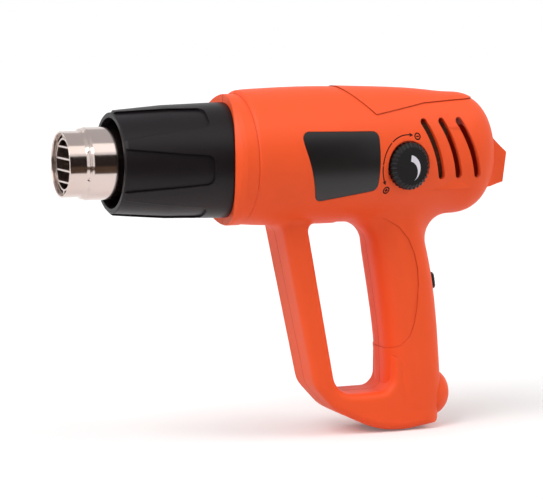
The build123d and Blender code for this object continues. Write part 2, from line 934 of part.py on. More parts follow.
# Nozzle tube with a rolled rim, a bead and a step, crimp dimples and the flange that the housing grips
rim_bore = nozzle_radius - rim_wall
bead_front = nose_length + bead_length
bead_crest = nozzle_radius + bead_rise
with BuildPart() as nozzle_tube:
    with BuildSketch(Plane.XZ):
        with BuildLine():
            rim = ThreePointArc(
                (rim_wall / 2, rim_bore),
                (0, rim_bore + rim_wall / 2),
                (rim_wall / 2, nozzle_radius),
            )
            Polyline(
                rim @ 1,
                (nose_length, nozzle_radius),
                (bead_front, bead_crest),
                ((bead_front + nose_length + step_length) / 2, bead_crest - bead_dip),
                (nose_length + step_length, tube_radius),
                (flange_station, tube_radius),
                (flange_station, flange_radius),
                (flange_station + flange_thickness, flange_radius),
                (flange_station + flange_thickness, tube_radius),
                (tube_length, tube_radius),
                (tube_length, tube_bore),
                (nose_length + step_length + nozzle_wall, tube_bore),
                (nose_length + nozzle_wall, nose_bore),
                (rim_length, nose_bore),
                (rim_length, rim_bore),
                rim @ 0,
            )
        make_face()
    revolve(axis=Axis.X)
    for index in range(dimple_count):
        turn = 2 * pi * (index + 1 / 2) / dimple_count
        reach = nozzle_radius + bead_rise / 2 + dimple_radius - dimple_depth
        with Locations((nose_length + bead_length / 2, reach * cos(turn), reach * sin(turn))):
            Sphere(dimple_radius, mode=Mode.SUBTRACT)
nozzle_tube.part.label = "nozzle_tube"
export_step(nozzle_tube.part, "parts/nozzle_tube.step")

# Grille in the mouth: an outer rim, an inner ring, tabs between them and four slats
grille_outer = nose_bore - snug
grille_inner = grille_ring_radius - grille_strip
with BuildPart() as nozzle_grille:
    with BuildSketch(Plane.YZ.offset(rim_length + snug)):
        Circle(grille_outer)
        Circle(grille_outer - grille_strip, mode=Mode.SUBTRACT)
    with BuildSketch(Plane.YZ.offset(rim_length + snug)):
        Circle(grille_ring_radius)
        Circle(grille_inner, mode=Mode.SUBTRACT)
    with BuildSketch(Plane.YZ.offset(rim_length + snug)):
        with PolarLocations((grille_ring_radius + grille_outer) / 2 - grille_strip / 2, grille_tab_count):
            Rectangle(grille_outer - grille_ring_radius, 2 * grille_strip)
    with BuildSketch(Plane.YZ.offset(rim_length + snug)):
        for index in range(slat_count):
            height = (index - (slat_count - 1) / 2) * slat_pitch
            with Locations((0, height)):
                Rectangle(2 * sqrt(grille_inner**2 - height**2) + grille_strip, grille_strip)
    extrude(amount=grille_depth)
nozzle_grille.part.label = "nozzle_grille"
export_step(nozzle_grille.part, "parts/nozzle_grille.step")

# Mica liner of the tube
with BuildPart() as mica_liner:
    with BuildSketch(Plane.YZ.offset(liner_front)):
        Circle(liner_radius)
        Circle(liner_bore, mode=Mode.SUBTRACT)
    extrude(amount=liner_rear - liner_front)
mica_liner.part.label = "mica_liner"
export_step(mica_liner.part, "parts/mica_liner.step")

# Crossed mica plates that carry the heater wire, with wide ends that sit in the liner
with BuildPart() as heater_core:
    for start, length, half in (
        (heater_front, liner_rear - heater_front, fin_half_width),
        (heater_front, spider_length, liner_bore - snug),
        (liner_rear - spider_length, spider_length, liner_bore - snug),
    ):
        with BuildSketch(Plane.YZ.offset(start)):
            Rectangle(2 * half, mica_thickness)
            Rectangle(mica_thickness, 2 * half)
        extrude(amount=length)
heater_core.part.label = "heater_core"
export_step(heater_core.part, "parts/heater_core.step")

# Heater wire as one coil of half turns that meet in line
coil_swing = sqrt(coil_radius**2 + (coil_pitch / 4) ** 2)
with BuildPart() as heater_wire:
    with BuildLine() as coil:
        for index in range(2 * coil_turns):
            side = (-1) ** index
            station = coil_start + index * coil_pitch / 2
            ThreePointArc(
                (station, side * coil_radius, 0),
                (station + coil_pitch / 4, 0, side * coil_swing),
                (station + coil_pitch / 2, -side * coil_radius, 0),
            )
    with BuildSketch(Plane(origin=(coil_start, coil_radius, 0), x_dir=(1, 0, 0), z_dir=(0, 0, 1))):
        Circle(coil_wire_radius)
    sweep(path=coil.line)
heater_wire.part.label = "heater_wire"
export_step(heater_wire.part, "parts/heater_wire.step")
coil_steps = coil_turns * 24
coil_points = [coil.wires()[0] @ (step / coil_steps) for step in range(coil_steps + 1)]
coil_gap = min(
    (first - second).length
    for index, first in enumerate(coil_points)
    for second in coil_points[index + 12 :]
)
print("heater wire least gap to itself", round(coil_gap - 2 * coil_wire_radius, 2))

# Ceramic base of the heater in the tube's rear end, open to the air between the mica plates
with BuildPart() as heater_base:
    with BuildSketch(Plane.YZ.offset(liner_rear)):
        Circle(liner_radius)
        with PolarLocations(base_hole_circle, base_hole_count, start_angle=180 / base_hole_count):
            Circle(base_hole_radius, mode=Mode.SUBTRACT)
    extrude(amount=base_plate_thickness)
heater_base.part.label = "heater_base"
export_step(heater_base.part, "parts/heater_base.step")

# Thermal fuse in a corner of the mica plates
fuse_offset = mica_thickness / 2 + fuse_radius + running
with BuildPart() as thermal_fuse:
    with BuildSketch(Plane.YZ.offset(liner_rear - fuse_length)):
        with Locations((fuse_offset, fuse_offset)):
            Circle(fuse_radius)
    extrude(amount=fuse_length)
thermal_fuse.part.label = "thermal_fuse"
export_step(thermal_fuse.part, "parts/thermal_fuse.step")

# Fan shroud with its mouth at the heater tube and a rear plate that carries the motor
shroud_start = web_rear + snug
with BuildPart() as fan_shroud:
    add(
        turned(
            (
                (shroud_start, shroud_mouth_radius),
                (shroud_start, shroud_mouth_radius + shroud_wall),
                (shroud_mouth, shroud_mouth_radius + shroud_wall),
                (shroud_cone_end, shroud_radius),
                (motor_front, shroud_radius),
                (motor_front, motor_nose_radius + snug),
                (shroud_rear, motor_nose_radius + snug),
                (shroud_rear, shroud_bore),
                (shroud_cone_end, shroud_bore),
                (shroud_mouth, shroud_mouth_radius),
            )
        )
    )
    with BuildSketch(Plane.YZ.offset(shroud_rear)):
        with PolarLocations(shroud_port_circle, shroud_port_count):
            Circle(shroud_port_radius)
    extrude(amount=shroud_plate, mode=Mode.SUBTRACT)
fan_shroud.part.label = "fan_shroud"
export_step(fan_shroud.part, "parts/fan_shroud.step")

# Fan impeller on the motor shaft
with BuildPart() as fan_impeller:
    add(disc(fan_front, fan_length, fan_hub_radius))
    for index in range(fan_blades):
        angle = 360 / fan_blades * index
        with BuildSketch(fan_plane(angle, fan_hub_radius - fan_blade, fan_root_pitch)):
            Rectangle(fan_root_chord, fan_blade)
        with BuildSketch(fan_plane(angle, fan_radius - fan_blade, fan_tip_pitch)):
            Rectangle(fan_tip_chord, fan_blade)
        loft()
    add(disc(fan_front - overrun, fan_length + 2 * overrun, shaft_radius + running), mode=Mode.SUBTRACT)
fan_impeller.part.label = "fan_impeller"
export_step(fan_impeller.part, "parts/fan_impeller.step")

# Motor can with a nose that sits in the shroud's plate
bush_seat = bush_radius + running
with BuildPart() as motor_can:
    add(
        turned(
            (
                (shroud_rear, bush_seat),
                (shroud_rear, motor_nose_radius),
                (motor_front, motor_nose_radius),
                (motor_front, motor_radius),
                (motor_rear, motor_radius),
                (motor_rear, can_bore),
                (motor_front + motor_wall, can_bore),
                (motor_front + motor_wall, bush_seat),
            )
        )
    )
motor_can.part.label = "motor_can"
export_step(motor_can.part, "parts/motor_can.step")

# Motor end cap with a spigot in the can and two brush terminals
with BuildPart() as motor_endcap:
    add(
        turned(
            (
                (motor_rear - endcap_spigot, bush_seat),
                (motor_rear - endcap_spigot, can_bore - snug),
                (motor_rear, can_bore - snug),
                (motor_rear, motor_radius),
                (endcap_rear, motor_radius),
                (endcap_rear, bush_seat),
            )
        )
    )
    with BuildSketch(Plane.YZ.offset(endcap_rear)):
        with PolarLocations(terminal_circle, 2, start_angle=90):
            Rectangle(terminal_thickness, terminal_width)
    extrude(amount=terminal_length)
motor_endcap.part.label = "motor_endcap"
export_step(motor_endcap.part, "parts/motor_endcap.step")

# Bushes at both ends of the motor shaft
with BuildPart() as motor_bushes:
    for start in (shroud_rear, endcap_rear - bush_length):
        with BuildSketch(Plane.YZ.offset(start)):
            Circle(bush_radius)
            Circle(shaft_radius + running, mode=Mode.SUBTRACT)
    extrude(amount=bush_length)
motor_bushes.part.label = "motor_bushes"
export_step(motor_bushes.part, "parts/motor_bushes.step")

# Two curved magnets inside the can
armature_middle = armature_front + armature_length / 2
magnet_inner = armature_radius + magnet_gap
with BuildPart() as motor_magnets:
    with BuildSketch(Plane.YZ.offset(armature_middle - magnet_length / 2)):
        Circle(can_bore - running)
        Circle(magnet_inner, mode=Mode.SUBTRACT)
        for way in (1, -1):
            side = 2 * can_bore * way
            with BuildLine():
                Polyline(
                    (0, 0),
                    (side * cos(radians(magnet_angle)), side * sin(radians(magnet_angle))),
                    (-side * cos(radians(magnet_angle)), side * sin(radians(magnet_angle))),
                    close=True,
                )
            make_face(mode=Mode.SUBTRACT)
    extrude(amount=magnet_length)
motor_magnets.part.label = "motor_magnets"
export_step(motor_magnets.part, "parts/motor_magnets.step")

# Armature: slotted stack, end windings and commutator on the shaft
with BuildPart() as motor_armature:
    with BuildSketch(Plane.YZ.offset(armature_front)):
        Circle(armature_radius)
        with PolarLocations(armature_radius, armature_slots):
            Rectangle(armature_radius, armature_slot_width, mode=Mode.SUBTRACT)
        with PolarLocations(armature_radius / 2, armature_slots):
            Circle(armature_slot_width, mode=Mode.SUBTRACT)
    extrude(amount=armature_length)
    add(disc(armature_front - winding_overhang, armature_length + 2 * winding_overhang, winding_radius))
    add(disc(armature_front, commutator_front + commutator_length - armature_front, commutator_radius))
    add(
        disc(
            armature_front - winding_overhang - overrun,
            commutator_front + commutator_length - armature_front + winding_overhang + 2 * overrun,
            shaft_radius + running,
        ),
        mode=Mode.SUBTRACT,
    )
motor_armature.part.label = "motor_armature"
export_step(motor_armature.part, "parts/motor_armature.step")

# Motor shaft
with BuildPart() as motor_shaft:
    add(disc(shaft_front, shaft_rear - shaft_front, shaft_radius))
motor_shaft.part.label = "motor_shaft"
export_step(motor_shaft.part, "parts/motor_shaft.step")

# Rectifier board on the motor's end, with its stand-offs and diodes
board_front = endcap_rear + rectifier_stand
with BuildPart() as rectifier_board:
    with BuildSketch(Plane.YZ.offset(board_front)):
        Circle(rectifier_radius)
        with PolarLocations(terminal_circle, 2, start_angle=90):
            Rectangle(terminal_thickness + 2 * snug, terminal_width + 2 * snug, mode=Mode.SUBTRACT)
    extrude(amount=rectifier_thickness)
    with BuildSketch(Plane.YZ.offset(endcap_rear)):
        with PolarLocations(terminal_circle, 2):
            Circle(rectifier_stand)
    extrude(amount=rectifier_stand)
    with BuildSketch(Plane.YZ.offset(board_front + rectifier_thickness)):
        with PolarLocations(diode_circle, diode_count, start_angle=180 / diode_count):
            Rectangle(diode_size, diode_size)
    extrude(amount=diode_size / 2)
rectifier_board.part.label = "rectifier_board"
export_step(rectifier_board.part, "parts/rectifier_board.step")

# Badge plate that follows the body's side, standing just proud of its recess
with BuildPart() as badge_plate:
    add(badge_prism(0))
    add(body_form(-badge_lift), mode=Mode.INTERSECT)
    add(body_form(badge_recess - running), mode=Mode.SUBTRACT)
badge_plate.part.label = "badge_plate"
export_step(badge_plate.part, "parts/badge_plate.step")

# Dial knob with a fluted edge, a pocket over the nut and a bore for the spindle
face_rise = dial_radius - dial_face_radius
slope_length = hypot(face_rise, dial_slope)
groove_lift = (dial_flute_radius - dial_groove_depth) / slope_length
groove_reach = dial_radius - face_rise / 2 + groove_lift * dial_slope
groove_height = dial_height - dial_slope / 2 + groove_lift * face_rise
with BuildPart() as dial_knob:
    with BuildSketch(dial_plane.offset(dial_under)):
        Circle(dial_radius)
    extrude(amount=dial_height - dial_slope - dial_under)
    with BuildSketch(dial_plane.offset(dial_height - dial_slope)):
        Circle(dial_radius)
    extrude(amount=dial_slope, taper=degrees(atan2(face_rise, dial_slope)))
    fillet(dial_knob.edges().sort_by(Axis(dial_plane.origin, dial_plane.z_dir))[-1], dial_edge)
    with BuildSketch(dial_plane.offset(dial_under)):
        with PolarLocations(dial_radius + dial_flute_radius / 2, dial_flutes):
            Circle(dial_flute_radius)
    extrude(amount=dial_height - dial_under, mode=Mode.SUBTRACT)
    with Locations(dial_plane.location):
        with PolarLocations(0, dial_flutes):
            with Locations(Location((groove_reach, 0, groove_height), (0, -degrees(atan2(face_rise, dial_slope)), 0))):
                Cylinder(dial_flute_radius, dial_groove_length, mode=Mode.SUBTRACT)
    with BuildSketch(dial_plane.offset(dial_under)):
        Circle(dial_pocket_radius)
    extrude(amount=dial_pocket_depth, mode=Mode.SUBTRACT)
    with BuildSketch(dial_plane.offset(pocket_roof)):
        Circle(spindle_radius + running)
    extrude(amount=spindle_reach, mode=Mode.SUBTRACT)
    with BuildSketch(dial_plane.offset(dial_height - mark_depth)):
        add(mark_outline())
    extrude(amount=mark_depth + overrun, mode=Mode.SUBTRACT)
dial_knob.part.label = "dial_knob"
export_step(dial_knob.part, "parts/dial_knob.step")

# White crescent set in the dial's face
with BuildPart() as dial_mark:
    with BuildSketch(dial_plane.offset(dial_height - mark_depth)):
        add(mark_outline())
    extrude(amount=mark_depth + mark_lift)
dial_mark.part.label = "dial_mark"
export_step(dial_mark.part, "parts/dial_mark.step")

# Spindle that turns in the potentiometer
spindle_foot = board_top + pot_floor
with BuildPart() as dial_spindle:
    with BuildSketch(dial_plane.offset(spindle_foot + snug)):
        Circle(spindle_radius)
    extrude(amount=pocket_roof + spindle_reach - running - spindle_foot - snug)
dial_spindle.part.label = "dial_spindle"
export_step(dial_spindle.part, "parts/dial_spindle.step")

# Nut that clamps the potentiometer to the dial's seat
with BuildPart() as dial_nut:
    with BuildSketch(dial_plane.offset(-dial_seat)):
        RegularPolygon(nut_width / 2, 6, major_radius=False)
        Circle(pot_neck_radius + running, mode=Mode.SUBTRACT)
    extrude(amount=nut_thickness)
dial_nut.part.label = "dial_nut"
export_step(dial_nut.part, "parts/dial_nut.step")

# Potentiometer with a threaded neck
with BuildPart() as potentiometer:
    with BuildSketch(dial_plane.offset(board_top)):
        Circle(pot_radius)
    extrude(amount=pot_depth)
    with BuildSketch(dial_plane.offset(-dial_pad_depth)):
        Circle(pot_neck_radius)
    extrude(amount=dial_pad_depth - dial_seat + nut_thickness + snug)
    with BuildSketch(dial_plane.offset(spindle_foot)):
        Circle(pot_neck_radius - pot_neck_wall)
    extrude(amount=dial_pad_depth + pot_depth, mode=Mode.SUBTRACT)
potentiometer.part.label = "potentiometer"
export_step(potentiometer.part, "parts/potentiometer.step")

# Control board on the potentiometer, with its parts on the inner side
board_inner = board_top - board_thickness
with BuildPart() as control_board:
    with BuildSketch(dial_plane.offset(board_inner)):
        with Locations((board_shift, board_rise)):
            RectangleRounded(board_length, board_height, board_thickness)
    extrude(amount=board_thickness)
    with BuildSketch(dial_plane.offset(board_inner)):
        with Locations((board_shift, board_height / 4), (board_shift, -board_height / 4)):
            Rectangle(pot_radius, pot_radius / 2)
    extrude(amount=-pot_radius / 2)
    with BuildSketch(dial_plane.offset(board_inner)):
        with Locations((board_shift, 0)):
            Circle(pot_neck_radius)
    extrude(amount=-pot_depth)
control_board.part.label = "control_board"
export_step(control_board.part, "parts/control_board.step")

# Finned heatsink of the triac
sink_x = board_shift + board_length / 2 - sink_width / 2 - sink_base
with BuildPart() as triac_heatsink:
    with BuildSketch(dial_plane.offset(board_inner)):
        with Locations((sink_x, 0)):
            Rectangle(sink_width, sink_height)
    extrude(amount=-sink_base)
    with BuildSketch(dial_plane.offset(board_inner - sink_base)):
        with Locations((sink_x, 0)):
            with GridLocations((sink_width - sink_fin) / (sink_fins - 1), 0, sink_fins, 1):
                Rectangle(sink_fin, sink_height)
    extrude(amount=-sink_depth)
triac_heatsink.part.label = "triac_heatsink"
export_step(triac_heatsink.part, "parts/triac_heatsink.step")

# Thumb switch: cap through the handle's back, plate behind the slot and stem into the switch
with BuildPart() as switch_slider:
    with BuildSketch(switch_plane.offset(slider_under)):
        RectangleRounded(slider_width, slider_length, slider_round)
    extrude(amount=slider_height - slider_under)
    top_edges = switch_slider.edges().group_by(Axis(switch_plane.origin, switch_plane.z_dir))[-1]
    fillet(top_edges, slider_edge)
    with BuildSketch(switch_plane.offset(slider_height)):
        with GridLocations(0, slider_groove_pitch, 1, slider_grooves):
            Rectangle(slider_width, slider_groove)
    extrude(amount=-slider_groove, mode=Mode.SUBTRACT)
    with BuildSketch(switch_plane.offset(slider_under)):
        Rectangle(slider_plate_width, slider_cover)
    extrude(amount=-slider_plate)
    with BuildSketch(switch_plane.offset(slider_under - slider_plate)):
        Rectangle(slider_stem, slider_stem_length)
    extrude(amount=-slider_stem_depth)
switch_slider.part.label = "switch_slider"
export_step(switch_slider.part, "parts/switch_slider.step")

# Body of the switch, with a slot for the stem and three terminals
with BuildPart() as switch_body:
    with BuildSketch(switch_plane.offset(switch_top)):
        Rectangle(switch_width, switch_length)
    extrude(amount=-switch_depth)
    with BuildSketch(switch_plane.offset(switch_top)):
        with Locations((0, slider_travel / 2)):
            Rectangle(slider_stem + 2 * easy, slider_stem_length + slider_travel + 2 * easy)
    extrude(amount=-switch_slot_depth, mode=Mode.SUBTRACT)
    with BuildSketch(switch_plane.offset(switch_top - switch_depth)):
        with GridLocations(0, switch_length * tray_hole_share / 3, 1, 3):
            Rectangle(terminal_width, terminal_thickness)
    extrude(amount=-terminal_length)
switch_body.part.label = "switch_body"
export_step(switch_body.part, "parts/switch_body.step")

# Terminal block for the supply, with its screw wells
with BuildPart() as terminal_block:
    with Locations((block_x, 0, block_z)):
        Box(block_depth, block_width, block_height)
    with BuildSketch(Plane.YZ.offset(block_x - block_depth / 2)):
        with Locations((0, block_z)):
            with GridLocations(block_width / 3, 0, 3, 1):
                Circle(block_well)
    extrude(amount=block_depth / 2, mode=Mode.SUBTRACT)
terminal_block.part.label = "terminal_block"
export_step(terminal_block.part, "parts/terminal_block.step")

# Suppression capacitor that stands on the terminal block
with BuildPart() as suppression_capacitor:
    with Locations((capacitor_x, 0, block_z + block_height / 2 + capacitor_height / 2)):
        Box(capacitor_depth, capacitor_width, capacitor_height)
    fillet(suppression_capacitor.edges().filter_by(Axis.Z), inlet_wall)
suppression_capacitor.part.label = "suppression_capacitor"
export_step(suppression_capacitor.part, "parts/suppression_capacitor.step")

# Rubber bush of the cord inlet
with BuildPart() as cord_inlet:
    add(
        turned(
            (
                (inlet_seat - inlet_flange_thickness, inlet_bore),
                (inlet_seat - inlet_flange_thickness, inlet_radius + inlet_flange),
                (inlet_seat, inlet_radius + inlet_flange),
                (inlet_seat, inlet_radius),
                (heel_face + inlet_lip, inlet_radius),
                (heel_face + inlet_lip, inlet_bore),
            ),
            heel_z,
        )
    )
cord_inlet.part.label = "cord_inlet"
export_step(cord_inlet.part, "parts/cord_inlet.step")

# Housing screws, all driven from the right side
with BuildPart() as housing_screws:
    with BuildSketch(Plane.XZ.offset(-screw_seat)):
        with Locations(*screw_places):
            Circle(screw_radius)
    extrude(amount=screw_length)
    with BuildSketch(Plane.XZ.offset(-screw_seat - screw_head)):
        with Locations(*screw_places):
            Circle(screw_head_radius)
    extrude(amount=screw_head)
    with BuildSketch(Plane.XZ.offset(-screw_seat - screw_head)):
        with Locations(*screw_places):
            Rectangle(2 * screw_head_radius, screw_slot)
            Rectangle(screw_slot, 2 * screw_head_radius)
    extrude(amount=screw_slot_depth, mode=Mode.SUBTRACT)
housing_screws.part.label = "housing_screws"
export_step(housing_screws.part, "parts/housing_screws.step")
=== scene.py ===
"""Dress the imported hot-air tool: finishes, printed marks, studio and camera."""

import json
import logging
import math
from dataclasses import dataclass
from enum import Enum
from typing import Any, Optional, Sequence, Union

import bmesh
import bpy
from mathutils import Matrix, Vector
from mathutils.bvhtree import BVHTree


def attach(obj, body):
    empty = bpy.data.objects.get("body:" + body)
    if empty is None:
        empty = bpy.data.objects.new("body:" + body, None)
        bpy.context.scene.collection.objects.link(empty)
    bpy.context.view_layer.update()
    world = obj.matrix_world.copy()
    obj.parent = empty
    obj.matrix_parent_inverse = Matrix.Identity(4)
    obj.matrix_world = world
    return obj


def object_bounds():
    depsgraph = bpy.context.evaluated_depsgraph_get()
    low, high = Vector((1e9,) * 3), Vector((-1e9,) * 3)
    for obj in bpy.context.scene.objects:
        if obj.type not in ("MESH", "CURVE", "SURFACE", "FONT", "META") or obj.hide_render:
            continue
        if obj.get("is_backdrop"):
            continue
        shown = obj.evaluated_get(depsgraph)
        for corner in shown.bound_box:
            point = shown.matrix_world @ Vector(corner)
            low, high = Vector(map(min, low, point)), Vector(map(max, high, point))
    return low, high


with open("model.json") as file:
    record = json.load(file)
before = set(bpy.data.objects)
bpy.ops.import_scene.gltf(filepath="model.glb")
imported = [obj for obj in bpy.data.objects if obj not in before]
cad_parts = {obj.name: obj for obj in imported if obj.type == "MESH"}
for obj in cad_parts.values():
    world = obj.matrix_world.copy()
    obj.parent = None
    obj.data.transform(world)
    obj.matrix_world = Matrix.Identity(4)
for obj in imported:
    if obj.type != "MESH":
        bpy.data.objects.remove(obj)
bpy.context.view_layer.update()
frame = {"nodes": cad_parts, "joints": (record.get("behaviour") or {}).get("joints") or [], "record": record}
MM = 0.001
LOG = logging.getLogger("heat_tool")

Colour = tuple[float, float, float]
Place = tuple[float, float, float]
Spot = tuple[float, float]
Stroke = list[tuple[Spot, Spot]]
Value = Union[float, Sequence[float], "Wire"]
Holder = Union[bpy.types.Material, bpy.types.World]

WHITE: Colour = (1.0, 1.0, 1.0)
BLACK: Colour = (0.0, 0.0, 0.0)
EVEN: Place = (1.0, 1.0, 1.0)

# The Mix node's inputs for its factor and its two colours, and its output for the mixed colour
MIX_FACTOR, MIX_FIRST, MIX_SECOND = 0, 6, 7
MIX_RESULT = 2

# The middle of a noise's range, so that it adds and takes away alike
MIDDLE = 0.5


def from_screen(red: int, green: int, blue: int) -> Colour:
    """Turn an 8-bit screen colour into the linear colour that shaders take.

    Args:
        red: Red from 0 to 255.
        green: Green from 0 to 255.
        blue: Blue from 0 to 255.

    Returns:
        The linear colour.
    """
    full, knee, slope, offset, gamma = 255, 0.04045, 12.92, 0.055, 2.4
    return tuple(
        share / slope if share <= knee else ((share + offset) / (1.0 + offset)) ** gamma
        for share in (red / full, green / full, blue / full)
    )


def shaded(colour: Colour, factor: float) -> Colour:
    """Return a colour times a factor."""
    return tuple(factor * part for part in colour)


class Wire:
    """A shader socket on which Python's operators add Math nodes."""

    def __init__(self, recipe: "Recipe", socket: bpy.types.NodeSocket) -> None:
        """Keep the socket and the recipe that it belongs to."""
        self.recipe = recipe
        self.socket = socket

    def apply(self, operation: str, *others: Value) -> "Wire":
        """Add one Math node with this wire first."""
        inputs = dict(enumerate((self, *others)))
        return self.recipe.node("ShaderNodeMath", {"operation": operation}, inputs)

    def __add__(self, other: Value) -> "Wire":
        """Return the sum."""
        return self.apply("ADD", other)

    def __radd__(self, other: Value) -> "Wire":
        """Return the sum with the wire second."""
        return self.apply("ADD", other)

    def __sub__(self, other: Value) -> "Wire":
        """Return the difference."""
        return self.apply("SUBTRACT", other)

    def __rsub__(self, other: Value) -> "Wire":
        """Return another value less the wire."""
        return self.recipe.node("ShaderNodeMath", {"operation": "SUBTRACT"}, {0: other, 1: self})

    def __mul__(self, other: Value) -> "Wire":
        """Return the product."""
        return self.apply("MULTIPLY", other)

    def __rmul__(self, other: Value) -> "Wire":
        """Return the product with the wire second."""
        return self.apply("MULTIPLY", other)

    def __truediv__(self, other: Value) -> "Wire":
        """Return the quotient."""
        return self.apply("DIVIDE", other)

    def clamped(self) -> "Wire":
        """Return the wire held between 0 and 1."""
        return self.apply("MAXIMUM", 0.0).apply("MINIMUM", 1.0)

    def between(self, low: float, high: float) -> "Wire":
        """Return how far the wire lies from low to high, smoothed, from 0 to 1."""
        share = ((self - low) / (high - low)).clamped()
        return share * share * (3.0 - 2.0 * share)


class Recipe:
    """The node tree of a material or of the world, put together by short calls."""

    def __init__(self, holder: Holder) -> None:
        """Start an empty node tree.

        Args:
            holder: The material or the world that holds the tree.
        """
        self.holder = holder
        holder.use_nodes = True
        self.tree = holder.node_tree
        self.tree.nodes.clear()

    def node(
        self,
        kind: str,
        settings: Optional[dict[str, Any]] = None,
        inputs: Optional[dict[Union[str, int], Value]] = None,
        output: Union[str, int] = 0,
    ) -> Wire:
        """Add one node, set it up, and feed its sockets.

        Args:
            kind: The node's type.
            settings: The node's own settings, which are set first.
            inputs: Values or wires by socket name or number.
            output: The output to return, by name or number.

        Returns:
            The wire of that output.
        """
        made = self.tree.nodes.new(kind)
        for name, value in (settings or {}).items():
            setattr(made, name, value)
        for name, value in (inputs or {}).items():
            self.feed(made.inputs[name], value)
        return Wire(self, made.outputs[output])

    def feed(self, socket: bpy.types.NodeSocket, value: Value) -> None:
        """Link a wire to a socket, or set the socket's own value.

        Args:
            socket: The socket to feed.
            value: A wire, a number, a vector or a colour.
        """
        if isinstance(value, Wire):
            self.tree.links.new(value.socket, socket)
        elif isinstance(value, (int, float)):
            socket.default_value = value
        elif len(value) == 3 and len(socket.default_value) == 4:
            socket.default_value = (*value, 1.0)
        else:
            socket.default_value = tuple(value)

    def close(self, surface: Wire, kind: str = "ShaderNodeOutputMaterial") -> Holder:
        """Feed the surface to the tree's output node, and return the tree's holder."""
        self.feed(self.tree.nodes.new(kind).inputs["Surface"], surface)
        return self.holder

    def principled(self, **inputs: Value) -> Wire:
        """Return a Principled shader, with underscores for the spaces in its sockets' names."""
        named = {name.replace("_", " "): value for name, value in inputs.items()}
        return self.node("ShaderNodeBsdfPrincipled", inputs=named)

    def place(self, stretch: Place = EVEN) -> Wire:
        """Return the place on the object in metres, stretched along X, Y and Z."""
        spot = self.node("ShaderNodeTexCoord", output="Object")
        return self.node("ShaderNodeVectorMath", {"operation": "MULTIPLY"}, {0: spot, 1: stretch})

    def noise(self, size: float, detail: float = 2.0, stretch: Place = EVEN) -> Wire:
        """Return noise whose cells are about a size in metres.

        Args:
            size: The cells' size in metres.
            detail: The noise's octaves.
            stretch: The stretch of the place along X, Y and Z.

        Returns:
            Noise from about 0.25 to 0.75.
        """
        inputs = {"Vector": self.place(stretch), "Scale": 1.0 / size, "Detail": detail}
        return self.node("ShaderNodeTexNoise", {"noise_dimensions": "3D"}, inputs, "Fac")

    def mix(self, share: Value, first: Value, second: Value) -> Wire:
        """Return two colours mixed by a share."""
        inputs = {MIX_FACTOR: share, MIX_FIRST: first, MIX_SECOND: second}
        return self.node("ShaderNodeMix", {"data_type": "RGBA"}, inputs, MIX_RESULT)

    def by_ray(self, lit: Wire, shown: Wire) -> Wire:
        """Return one shader for the rays that light, and another for what eye and mirror see.

        Args:
            lit: The shader that diffuse rays meet.
            shown: The shader that camera, glossy and transmission rays meet.

        Returns:
            The mixed shader.
        """
        camera, glossy, through = (
            self.node("ShaderNodeLightPath", output=ray)
            for ray in ("Is Camera Ray", "Is Glossy Ray", "Is Transmission Ray")
        )
        seen = camera.apply("MAXIMUM", glossy).apply("MAXIMUM", through)
        return self.node("ShaderNodeMixShader", inputs={0: seen, 1: lit, 2: shown})

    def painted_crease_shade(self, reach: float, faint: float = 0.06, full: float = 0.55) -> Wire:
        """Return the share of painted shade in a crease or corner, by how far in it the surface lies, from 0
        to 1.

        Args:
            reach: How far off a wall still counts, in metres.
            faint: The hidden share of the view at which the painted shade starts to show.
            full: The hidden share at which it shows in full.

        Returns:
            The share of painted shade, 0 on open surfaces.
        """
        settings = {"samples": 8, "only_local": True}
        open_share = self.node("ShaderNodeAmbientOcclusion", settings, {"Distance": reach}, "AO")
        return (1.0 - open_share).between(faint, full)

    def bump(self, height: Wire, depth: float, edge: float) -> Wire:
        """Return the normal of a height, over edges that are softened by a radius.

        Args:
            height: The height from 0 to 1.
            depth: What a height of 1 stands for, in metres.
            edge: The radius of the softened edges in metres, or 0 for sharp ones.

        Returns:
            The normal.
        """
        inputs = {"Height": height, "Distance": depth}
        if edge > 0:
            inputs["Normal"] = self.node("ShaderNodeBevel", {"samples": 4}, {"Radius": edge})
        return self.node("ShaderNodeBump", {}, inputs)


